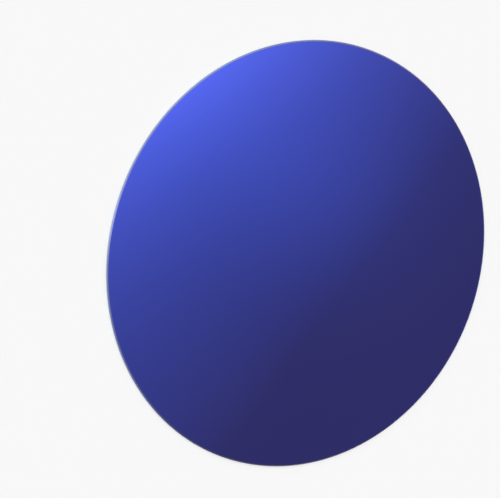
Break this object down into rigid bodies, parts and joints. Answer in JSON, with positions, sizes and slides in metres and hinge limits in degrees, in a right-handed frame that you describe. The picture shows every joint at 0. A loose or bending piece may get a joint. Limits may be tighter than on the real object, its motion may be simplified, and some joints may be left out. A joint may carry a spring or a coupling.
{
  "type": "silicon wafer",
  "caption": "Thin round wafer with a polished, blue-coated front face, an etched back face and a ground edge that is bevelled on both faces and rounded between them.",
  "frame": {"origin": "centre of the back face, which lies on the ground plane", "axes": "+Z along the disc's axis, out of the coated front face; X and Y lie in the back face and, as the disc is round, have no marked direction"},
  "size_m": [0.1, 0.1, 0.0005],
  "materials": {
    "coated_silicon": "polished"
  },
  "bodies": {
    "root": {"wafer": "coated_silicon"}
  },
  "joints": []
}
